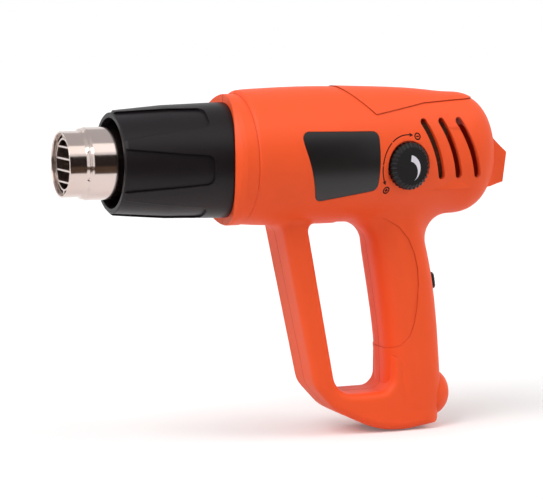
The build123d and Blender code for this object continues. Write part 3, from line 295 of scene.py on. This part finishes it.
@dataclass(frozen=True)
class MouldedPlastic:
    """Spark-eroded plastic with fine grain, softened edges, painted shade in creases and corners, and a
    darker parting line.
    """

    name: str
    colour: Colour
    roughness: float = 0.45
    specular: float = 0.5
    grain: float = 0.35 * MM
    grain_depth: float = 0.012 * MM
    grain_gloss: float = 0.06
    edge: float = 0.4 * MM
    cloud: float = 20.0 * MM
    cloud_octaves: float = 3.0
    variation: float = 0.04
    shade_per_variation: float = 3.0
    # Reach of the painted shade in creases and corners (0 for none), and the tint of that painted shade and
    # of the parting line
    painted_crease_shade: float = 0.0
    crease_shade_and_seam_tint: Colour = (0.66, 0.50, 0.46)
    seam: float = 0.0
    seam_fade: float = 2.2
    seam_share: float = 0.85

    def build(self) -> bpy.types.Material:
        """Put the plastic's nodes together.

        Returns:
            The material.
        """
        recipe = Recipe(bpy.data.materials.new(self.name))
        cloud = recipe.noise(self.cloud, self.cloud_octaves)
        grain = recipe.noise(self.grain)
        shade = self.shade_per_variation * self.variation
        darker, lighter = shaded(self.colour, 1.0 - shade), shaded(self.colour, 1.0 + shade)
        # Darker colour for the painted shade in creases and corners, and for the parting line
        crease_shade_and_seam = tuple(part * tint for part, tint in zip(self.colour, self.crease_shade_and_seam_tint))
        colour = recipe.mix(cloud, darker, lighter)
        # Painted shade: the colour darkens where the surface lies in a crease or corner
        if self.painted_crease_shade > 0:
            colour = recipe.mix(recipe.painted_crease_shade(self.painted_crease_shade), colour, crease_shade_and_seam)
        if self.seam > 0:
            spot = {"Vector": recipe.place()}
            off_middle = recipe.node("ShaderNodeSeparateXYZ", {}, spot, "Y").apply("ABSOLUTE")
            line = 1.0 - off_middle.between(self.seam, self.seam_fade * self.seam)
            colour = recipe.mix(self.seam_share * line, colour, crease_shade_and_seam)
        gloss = self.variation * (cloud - MIDDLE) + self.grain_gloss * (grain - MIDDLE)
        return recipe.close(
            recipe.principled(
                Base_Color=colour,
                Roughness=self.roughness + gloss,
                Specular_IOR_Level=self.specular,
                Normal=recipe.bump(grain, self.grain_depth, self.edge),
            )
        )


@dataclass(frozen=True)
class TurnedSteel:
    """Polished steel with faint turning lines and a warm tint towards the hot end."""

    name: str
    colour: Colour
    tint: Colour
    roughness: float = 0.13
    tint_end: float = 30.0 * MM
    tint_share: float = 0.6
    tint_change: float = 0.8
    line: float = 0.12 * MM
    line_stretch: Place = (1.0, 0.02, 0.02)
    line_depth: float = 0.0012 * MM
    line_gloss: float = 0.04
    smear: float = 6.0 * MM
    smear_octaves: float = 3.0
    smear_gloss: float = 0.10
    edge: float = 0.5 * MM

    def build(self) -> bpy.types.Material:
        """Put the steel's nodes together.

        Returns:
            The material.
        """
        recipe = Recipe(bpy.data.materials.new(self.name))
        lines = recipe.noise(self.line, stretch=self.line_stretch)
        smear = recipe.noise(self.smear, self.smear_octaves)
        along = recipe.node("ShaderNodeSeparateXYZ", {}, {"Vector": recipe.place()}, "X")
        warm = 1.0 - along.between(0.0, self.tint_end)
        warm = warm * (self.tint_share + self.tint_change * (smear - MIDDLE))
        gloss = self.smear_gloss * (smear - MIDDLE) + self.line_gloss * (lines - MIDDLE)
        return recipe.close(
            recipe.principled(
                Base_Color=recipe.mix(warm.clamped(), self.colour, self.tint),
                Metallic=1.0,
                Roughness=self.roughness + gloss,
                Normal=recipe.bump(lines, self.line_depth, self.edge),
            )
        )


@dataclass(frozen=True)
class PlainMetal:
    """Pressed, plated or cast metal with fine scratches."""

    name: str
    colour: Colour
    roughness: float = 0.35
    scratch_stretch: Place = (1.0, 0.1, 1.0)
    scratch: float = 0.4 * MM
    scratch_octaves: float = 3.0
    scratch_depth: float = 0.004 * MM
    scratch_gloss: float = 0.15
    blotch: float = 4.0 * MM
    blotch_shade: float = 0.8
    blotch_gloss: float = 0.1
    edge: float = 0.2 * MM

    def build(self) -> bpy.types.Material:
        """Put the metal's nodes together.

        Returns:
            The material.
        """
        recipe = Recipe(bpy.data.materials.new(self.name))
        scratches = recipe.noise(self.scratch, self.scratch_octaves, self.scratch_stretch)
        blotch = recipe.noise(self.blotch)
        gloss = self.scratch_gloss * (scratches - MIDDLE) + self.blotch_gloss * (blotch - MIDDLE)
        return recipe.close(
            recipe.principled(
                Base_Color=recipe.mix(blotch, shaded(self.colour, self.blotch_shade), self.colour),
                Metallic=1.0,
                Roughness=self.roughness + gloss,
                Normal=recipe.bump(scratches, self.scratch_depth, self.edge),
            )
        )


@dataclass(frozen=True)
class Sheet:
    """Dull non-metal stock such as mica, board, rubber or ferrite, with flecks."""

    name: str
    colour: Colour
    fleck: Colour
    roughness: float = 0.6
    size: float = 1.0 * MM
    octaves: float = 4.0
    fleck_from: float = 0.5
    fleck_to: float = 0.68
    fleck_depth: float = 0.02 * MM
    fleck_gloss: float = 0.15
    edge: float = 0.2 * MM

    def build(self) -> bpy.types.Material:
        """Put the sheet's nodes together.

        Returns:
            The material.
        """
        recipe = Recipe(bpy.data.materials.new(self.name))
        flecks = recipe.noise(self.size, self.octaves)
        share = flecks.between(self.fleck_from, self.fleck_to)
        return recipe.close(
            recipe.principled(
                Base_Color=recipe.mix(share, self.colour, self.fleck),
                Roughness=self.roughness + self.fleck_gloss * (flecks - MIDDLE),
                Normal=recipe.bump(flecks, self.fleck_depth, self.edge),
            )
        )


class Finish(Enum):
    """The finishes of the tool, each under the record's slot name."""

    HOUSING = MouldedPlastic(
        "orange_shell",
        from_screen(250, 88, 35),
        0.5,
        0.28,
        edge=0.6 * MM,
        variation=0.012,
        # Painted shade in creases and corners, reaching 1 mm
        painted_crease_shade=1.0 * MM,
        seam=0.12 * MM,
    )
    SLEEVE = MouldedPlastic(
        "sleeve_black", from_screen(23, 17, 21), 0.42, 0.26, edge=0.6 * MM, variation=0.03
    )
    STEEL = TurnedSteel("polished_steel", (0.68, 0.58, 0.545), (0.66, 0.54, 0.49))
    GRILLE = TurnedSteel("grille_steel", (0.60, 0.52, 0.49), (0.58, 0.48, 0.44), 0.22)
    MICA = Sheet("mica", (0.30, 0.25, 0.22), (0.42, 0.36, 0.30), 0.5)
    HEATER = PlainMetal("resistance_wire", (0.34, 0.30, 0.27), 0.5)
    BADGE = MouldedPlastic(
        "badge_black", from_screen(24, 20, 22), 0.34, grain=0.5 * MM, edge=0.5 * MM, variation=0.02
    )
    KNOB = MouldedPlastic(
        "knob_black", from_screen(20, 17, 19), 0.36, 0.3, grain=0.6 * MM, grain_depth=0.03 * MM
    )
    MARK = MouldedPlastic("mark_white", from_screen(226, 221, 230), 0.5, variation=0.01)
    SWITCH = MouldedPlastic("switch_black", from_screen(22, 19, 21), 0.4, 0.4)
    RUBBER = Sheet("rubber_black", (0.020, 0.019, 0.020), (0.035, 0.033, 0.034), 0.7, 0.6 * MM)
    SCREW = PlainMetal("screw_zinc", (0.34, 0.33, 0.32), 0.32)
    DUCT = MouldedPlastic("duct_dark", from_screen(70, 50, 45), 0.6)
    FAN = MouldedPlastic("fan_pale", from_screen(190, 186, 178), 0.5)
    MOTOR = PlainMetal("motor_plated", (0.55, 0.55, 0.56), 0.3, (0.1, 1.0, 1.0))
    MAGNET = Sheet("ferrite", (0.035, 0.035, 0.038), (0.08, 0.08, 0.085), 0.55)
    BUSH = PlainMetal("sintered_bronze", (0.60, 0.42, 0.20), 0.4, EVEN)
    BOARD = Sheet("circuit_board", (0.16, 0.07, 0.03), (0.22, 0.11, 0.05), 0.45, 1.5 * MM)
    HEATSINK = PlainMetal("extruded_aluminium", (0.55, 0.56, 0.58), 0.4, (1.0, 1.0, 0.05))
    CAPACITOR = MouldedPlastic("capacitor_yellow", from_screen(222, 176, 60), 0.3)
    BLOCK = MouldedPlastic("block_pale", from_screen(226, 222, 210), 0.5)
    INK = MouldedPlastic(
        "printed_ink", from_screen(44, 12, 9), 0.6, 0.15, grain=0.2 * MM, edge=0.0, variation=0.03
    )


class Wardrobe:
    """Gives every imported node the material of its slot."""

    def __init__(self, record: dict[str, Any]) -> None:
        """Build the materials and read which slot each node has."""
        self.materials = {finish.name.lower(): finish.value.build() for finish in Finish}
        self.slots = {row["node"]: row["material_slot"] for row in record["subparts"]}

    def dress(self, nodes: dict[str, bpy.types.Object]) -> None:
        """Put its slot's material on each node.

        Args:
            nodes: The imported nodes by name.
        """
        for name, piece in nodes.items():
            slot = self.slots[name]
            piece.data.materials.clear()
            piece.data.materials.append(self.materials[slot])
            LOG.info("%s wears %s", name, slot)


class DialSeat:
    """The shell round the dial, met along the dial's axis."""

    def __init__(self, shell: bpy.types.Object, joint: dict[str, Any]) -> None:
        """Read the shell's faces and the dial's axes.

        Args:
            shell: The node that carries the print.
            joint: The dial's joint, which gives the axis and its place.
        """
        self.axis = Vector(joint["axis"]).normalized()
        self.across = Vector((0.0, 0.0, 1.0)).cross(self.axis).normalized()
        self.up = self.axis.cross(self.across)
        self.centre = Vector(joint["pos_m"])
        self.faces = BVHTree.FromPolygons(
            [vertex.co for vertex in shell.data.vertices],
            [list(face.vertices) for face in shell.data.polygons],
        )

    def meet(self, spot: Spot, reach: float) -> tuple[Vector, Vector]:
        """Look back at the shell from in front of it.

        Args:
            spot: The point in the dial's plane, across and up.
            reach: How far in front of the dial's centre to look from.

        Returns:
            The point on the shell and the shell's normal there.
        """
        start = self.centre + self.across * spot[0] + self.up * spot[1] + self.axis * reach
        return self.faces.ray_cast(start, -self.axis)[:2]


@dataclass(frozen=True)
class DialPrint:
    """Printed marks round the dial: a broken arc with two arrow heads, a minus and a plus."""

    radius: float = 16.5 * MM
    stroke: float = 0.6 * MM
    arcs: tuple[Spot, ...] = ((86.0, 128.0), (131.0, 176.0), (178.0, 208.0))
    head: float = 2.3 * MM
    head_half: float = 1.05 * MM
    head_shares: tuple[float, ...] = (0.0, 0.5, 0.98)
    ring: float = 2.0 * MM
    ring_line: float = 0.72 * MM
    ring_sweep: float = 359.0
    bar: float = 1.8 * MM
    minus_at: Spot = (6.1 * MM, 15.5 * MM)
    plus_at: Spot = (-12.1 * MM, -12.6 * MM)
    step: float = 0.35 * MM
    lift: float = 0.05 * MM
    sink: float = 0.10 * MM
    reach: float = 20.0 * MM

    def build(self, seat: DialSeat) -> bpy.types.Object:
        """Lay the marks on the shell as thin closed solids.

        Args:
            seat: The shell round the dial.

        Returns:
            The printed piece.
        """
        work = bmesh.new()
        for stroke in self._strokes():
            rows = []
            for pair in stroke:
                row = []
                for spot in pair:
                    place, normal = seat.meet(spot, self.reach)
                    top = work.verts.new(place + normal * self.lift)
                    row.append((top, work.verts.new(place - normal * self.sink)))
                rows.append(row)
            self._skin(work, rows)
        bmesh.ops.recalc_face_normals(work, faces=work.faces)
        mesh = bpy.data.meshes.new("dial_print")
        work.to_mesh(mesh)
        work.free()
        piece = bpy.data.objects.new("dial_print", mesh)
        bpy.context.scene.collection.objects.link(piece)
        return piece

    @staticmethod
    def _skin(work: bmesh.types.BMesh, rows: list[Any]) -> None:
        """Close one stroke with faces on all its sides.

        Args:
            work: The mesh that holds the vertices.
            rows: Left and right pairs along the stroke, each of an upper and a lower vertex.
        """
        for (a, b), (c, d) in zip(rows, rows[1:]):
            work.faces.new((a[0], b[0], d[0], c[0]))
            work.faces.new((a[1], c[1], d[1], b[1]))
            work.faces.new((a[0], c[0], c[1], a[1]))
            work.faces.new((b[0], b[1], d[1], d[0]))
        first, last = rows[0], rows[-1]
        work.faces.new((first[0][0], first[0][1], first[1][1], first[1][0]))
        work.faces.new((last[0][0], last[1][0], last[1][1], last[0][1]))

    def _strokes(self) -> list[Stroke]:
        """List the strokes of the print in the dial's plane.

        Returns:
            The strokes, each a list of left and right points.
        """
        strokes = [self._arc((0.0, 0.0), self.radius, *ends, self.stroke) for ends in self.arcs]
        strokes.append(self._arrow(self.arcs[0][0], -1.0))
        strokes.append(self._arrow(self.arcs[-1][1], 1.0))
        middle = self.ring - self.ring_line / 2
        for place in (self.minus_at, self.plus_at):
            strokes.append(self._arc(place, middle, 0.0, self.ring_sweep, self.ring_line))
            strokes.append(self._bar(place, (1.0, 0.0), self.bar / 2))
        # The plus sign's upright is two short bars, so that no stroke crosses another
        quarter, gap = self.bar / 4, self.ring_line / 4
        for side in (-1.0, 1.0):
            centre = (self.plus_at[0], self.plus_at[1] + side * (quarter + gap))
            strokes.append(self._bar(centre, (0.0, 1.0), quarter - gap))
        return strokes

    def _arc(self, centre: Spot, radius: float, start: float, stop: float, width: float) -> Stroke:
        """Follow an arc between two angles.

        Args:
            centre: The arc's centre.
            radius: The radius of its middle line.
            start: The first angle in degrees.
            stop: The last angle in degrees.
            width: The stroke's width.

        Returns:
            The stroke.
        """
        count = max(2, math.ceil(math.radians(stop - start) * radius / self.step))
        stroke = []
        for index in range(count + 1):
            angle = math.radians(start + (stop - start) * index / count)
            stroke.append(
                tuple(
                    (centre[0] + reach * math.cos(angle), centre[1] + reach * math.sin(angle))
                    for reach in (radius - width / 2, radius + width / 2)
                )
            )
        return stroke

    def _arrow(self, angle: float, way: float) -> Stroke:
        """Taper an arrow head along the arc from one of its ends.

        Args:
            angle: The end's angle in degrees.
            way: 1 to point to larger angles, -1 to smaller ones.

        Returns:
            The stroke.
        """
        stroke = []
        for share in self.head_shares:
            turn = math.radians(angle) + way * share * self.head / self.radius
            half = self.head_half * (1.0 - share)
            stroke.append(
                tuple(
                    (reach * math.cos(turn), reach * math.sin(turn))
                    for reach in (self.radius - half, self.radius + half)
                )
            )
        return stroke

    def _bar(self, centre: Spot, along: Spot, half: float) -> Stroke:
        """Draw a straight bar of a sign about its centre.

        Args:
            centre: The bar's centre.
            along: The bar's direction.
            half: Half its length.

        Returns:
            The stroke.
        """
        side = (-along[1] * self.ring_line / 2, along[0] * self.ring_line / 2)
        stroke = []
        for share in (-1.0, 0.0, 1.0):
            x, y = centre[0] + share * half * along[0], centre[1] + share * half * along[1]
            stroke.append(((x - side[0], y - side[1]), (x + side[0], y + side[1])))
        return stroke


@dataclass(frozen=True)
class Card:
    """A studio card or soft box that only reflections see."""

    name: str
    colour: Colour
    corners: tuple[Place, ...]
    weave: float = 10.0 * MM
    weave_shade: float = 0.9

    def build(self) -> bpy.types.Material:
        """Put the card's nodes together.

        Returns:
            The material, which glows in the card's colour.
        """
        recipe = Recipe(bpy.data.materials.new(self.name))
        thin = shaded(self.colour, self.weave_shade)
        glow = recipe.mix(recipe.noise(self.weave), thin, self.colour)
        return recipe.close(
            recipe.principled(
                Base_Color=BLACK,
                Roughness=1.0,
                Specular_IOR_Level=0.0,
                Emission_Color=glow,
                Emission_Strength=1.0,
            )
        )


@dataclass(frozen=True)
class Paper:
    """Pale floor paper, which eye and mirror see as white outside the tool's shadow."""

    name: str = "floor_pale"
    colour: Colour = (0.72, 0.72, 0.72)
    shown: Colour = (0.94, 0.94, 0.94)
    lift: float = 0.12
    roughness: float = 0.9
    fibre: float = 50.0 * MM
    fibre_shade: float = 0.985

    def build(self) -> bpy.types.Material:
        """Put the paper's nodes together.

        Returns:
            The material.
        """
        recipe = Recipe(bpy.data.materials.new(self.name))
        fibre = recipe.noise(self.fibre)
        lit, shown = (
            recipe.principled(
                Base_Color=recipe.mix(fibre, shaded(colour, self.fibre_shade), colour),
                Roughness=self.roughness,
                Specular_IOR_Level=0.0,
                Emission_Color=WHITE,
                Emission_Strength=lift,
            )
            for colour, lift in ((self.colour, 0.0), (self.shown, self.lift))
        )
        return recipe.close(recipe.by_ray(lit, shown))


@dataclass(frozen=True)
class Studio:
    """A pale floor, a soft sky, two broad soft lights, and cards for the steel to reflect."""

    floor_half: float = 8.0
    floor_gap: float = 0.6 * MM
    sky: float = 0.45
    sky_shown: float = 1.0
    key_from: Place = (-0.75, -0.28, 0.85)
    key_strength: float = 1.95
    fill_from: Place = (0.75, -0.30, 0.60)
    fill_strength: float = 0.95
    spread: float = 40.0
    wide: float = 1.6
    apron_near: float = -0.28
    apron_lift: float = 2.0 * MM
    front: float = -1.6
    card_top: float = 0.96
    roof: float = 1.2
    bright_from: float = -1.48
    bright_to: float = -0.46
    grey_to: float = 1.5
    apron_colour: Colour = (0.100, 0.066, 0.046)
    card_colour: Colour = (0.030, 0.024, 0.022)
    bright_colour: Colour = (1.6, 1.58, 1.55)
    grey_colour: Colour = (0.62, 0.62, 0.63)

    def build(self) -> None:
        """Make the floor, the cards, the sky and the lights."""
        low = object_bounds()[0][2] - self.floor_gap
        half = self.floor_half
        floor = ((-half, -half, low), (half, -half, low), (half, half, low), (-half, half, low))
        self._sheet("floor", floor, Paper().build())
        for card in self._cards(low):
            self._hang(card)
        self._sky()
        self._beam("key", self.key_from, self.key_strength)
        self._beam("fill", self.fill_from, self.fill_strength).visible_glossy = False

    @staticmethod
    def _sheet(
        name: str, corners: Sequence[Place], material: bpy.types.Material
    ) -> bpy.types.Object:
        """Make a flat stage sheet from its corners.

        Args:
            name: The sheet's name.
            corners: Its corners in metres.
            material: Its material.

        Returns:
            The sheet.
        """
        mesh = bpy.data.meshes.new(name)
        mesh.from_pydata(corners, [], [tuple(range(len(corners)))])
        mesh.materials.append(material)
        sheet = bpy.data.objects.new(name, mesh)
        bpy.context.scene.collection.objects.link(sheet)
        sheet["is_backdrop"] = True
        LOG.info("%s set up", name)
        return sheet

    def _level(self, near: float, far: float, height: float) -> tuple[Place, ...]:
        """Return the corners of a level card from one Y to another."""
        sides = ((-self.wide, near), (self.wide, near), (self.wide, far), (-self.wide, far))
        return tuple((*side, height) for side in sides)

    def _upright(self, low: float, top: float) -> tuple[Place, ...]:
        """Return the corners of the upright card at the front."""
        wide, front = self.wide, self.front
        return ((-wide, front, low), (wide, front, low), (wide, front, top), (-wide, front, top))

    def _cards(self, low: float) -> tuple[Card, ...]:
        """List the cards in front of the tool and above it.

        Args:
            low: The floor's height in metres.

        Returns:
            The cards.
        """
        apron = self._level(self.apron_near, self.front, low + self.apron_lift)
        bright = self._level(self.bright_from, self.bright_to, self.roof)
        grey = self._level(self.bright_to, self.grey_to, self.roof)
        return (
            Card("dark_apron", self.apron_colour, apron),
            Card("dark_card", self.card_colour, self._upright(low, self.card_top)),
            Card("soft_box", self.bright_colour, bright),
            Card("grey_roof", self.grey_colour, grey),
        )

    def _hang(self, card: Card) -> None:
        """Hang one card, unseen by the camera and by diffuse light.

        Args:
            card: The card.
        """
        sheet = self._sheet(card.name, card.corners, card.build())
        sheet.visible_camera = False
        sheet.visible_diffuse = False
        sheet.visible_shadow = False
        sheet.visible_transmission = False

    def _sky(self) -> None:
        """Light evenly, and show white to the camera and to reflections."""
        world = bpy.data.worlds.new("soft_sky")
        recipe = Recipe(world)
        lit, shown = (
            recipe.node("ShaderNodeBackground", inputs={"Color": WHITE, "Strength": strength})
            for strength in (self.sky, self.sky_shown)
        )
        recipe.close(recipe.by_ray(lit, shown), "ShaderNodeOutputWorld")
        bpy.context.scene.world = world

    def _beam(self, name: str, place: Place, strength: float) -> bpy.types.Object:
        """Shine one broad soft light evenly over tool and floor.

        Args:
            name: The light's name.
            place: The direction that it comes from.
            strength: Its strength.

        Returns:
            The light's object.
        """
        sun = bpy.data.lights.new(name, "SUN")
        sun.energy = strength
        sun.angle = math.radians(self.spread)
        hung = bpy.data.objects.new(name, sun)
        bpy.context.scene.collection.objects.link(hung)
        hung.location = place
        hung.rotation_euler = (-Vector(place)).to_track_quat("-Z", "Y").to_euler()
        LOG.info("%s set up", name)
        return hung


@dataclass(frozen=True)
class Viewpoint:
    """The camera at the photograph's angle."""

    place: Place = (-0.3098, -1.0273, 0.0771)
    heading: Place = (0.3809, 0.9177, -0.1125)
    lens: float = 139.2
    sensor: float = 36.0
    clip_start: float = 0.05
    clip_end: float = 50.0

    def build(self) -> None:
        """Create the camera and make it the scene's own."""
        camera = bpy.data.cameras.new("photo_camera")
        camera.sensor_fit = "HORIZONTAL"
        camera.sensor_width = self.sensor
        camera.lens = self.lens
        camera.clip_start = self.clip_start
        camera.clip_end = self.clip_end
        held = bpy.data.objects.new("photo_camera", camera)
        bpy.context.scene.collection.objects.link(held)
        held.location = self.place
        held.rotation_euler = Vector(self.heading).to_track_quat("-Z", "Y").to_euler()
        bpy.context.scene.camera = held
        LOG.info("photo_camera set up")


def main() -> None:
    """Dress the tool, add its print, and set the studio and the camera."""
    logging.basicConfig(level=logging.INFO, format="%(name)s: %(message)s")
    bpy.context.scene.view_settings.view_transform = "Standard"
    wardrobe = Wardrobe(frame["record"])
    wardrobe.dress(frame["nodes"])
    joints = {joint["name"]: joint for joint in frame["joints"]}
    seat = DialSeat(frame["nodes"]["housing_left"], joints["dial_turn"])
    marks = DialPrint().build(seat)
    marks.data.materials.append(wardrobe.materials["ink"])
    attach(marks, "housing")
    LOG.info("dial_print laid on housing_left")
    Studio().build()
    Viewpoint().build()


if __name__ == "__main__":
    main()
